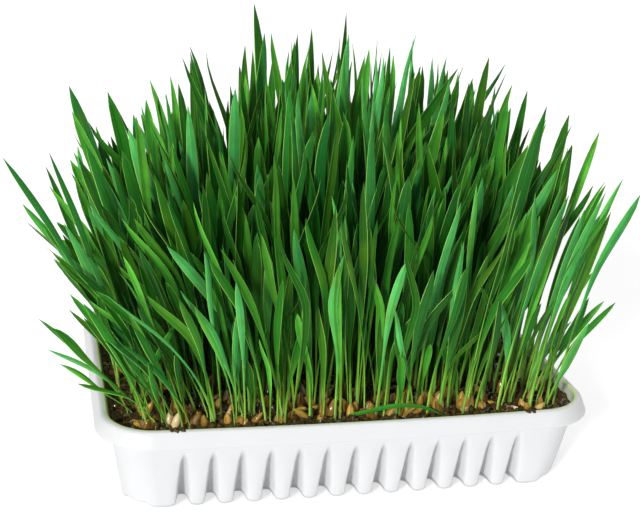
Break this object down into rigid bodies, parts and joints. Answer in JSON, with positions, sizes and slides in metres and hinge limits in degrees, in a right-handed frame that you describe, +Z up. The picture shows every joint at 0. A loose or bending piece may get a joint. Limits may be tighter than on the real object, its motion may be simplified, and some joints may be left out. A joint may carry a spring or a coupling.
{
  "type": "wheatgrass tray",
  "caption": "Shallow ribbed plastic tray of soil with sprouted grains and a dense, fanned stand of young wheatgrass.",
  "frame": {"origin": "centre of the tray's flat underside, where it rests on a surface", "axes": "+X along the tray's length, +Y from the front long side to the back long side, +Z up"},
  "size_m": [0.236, 0.1506, 0.1689],
  "materials": {
    "tray_plastic": "satin, moulded thin white sheet",
    "soil": "wet dark growing soil with fine crumbs and roots",
    "grain": "dry husks of sprouted wheat, satin",
    "grass": "young leaf, satin, fine lengthwise veins, pale yellow-green at the stem"
  },
  "bodies": {
    "root": {"tray": "tray_plastic", "soil": "soil", "grass_row_01": "grass", "grass_row_02": "grass", "grass_row_03": "grass", "grass_row_04": "grass", "grass_row_05": "grass", "grass_row_06": "grass", "grass_row_07": "grass", "grass_row_08": "grass", "grass_row_09": "grass", "grass_row_10": "grass", "grass_row_11": "grass", "grass_row_12": "grass", "grass_row_13": "grass", "grass_row_14": "grass", "grass_row_15": "grass", "grass_row_16": "grass", "grass_row_17": "grass", "grass_row_18": "grass", "grain_cluster_01": "grain", "grain_cluster_02": "grain", "grain_cluster_03": "grain", "grain_cluster_04": "grain", "grain_cluster_05": "grain", "grain_cluster_06": "grain", "grain_cluster_07": "grain", "grain_cluster_08": "grain", "grain_cluster_09": "grain", "grain_cluster_10": "grain"}
  },
  "joints": []
}
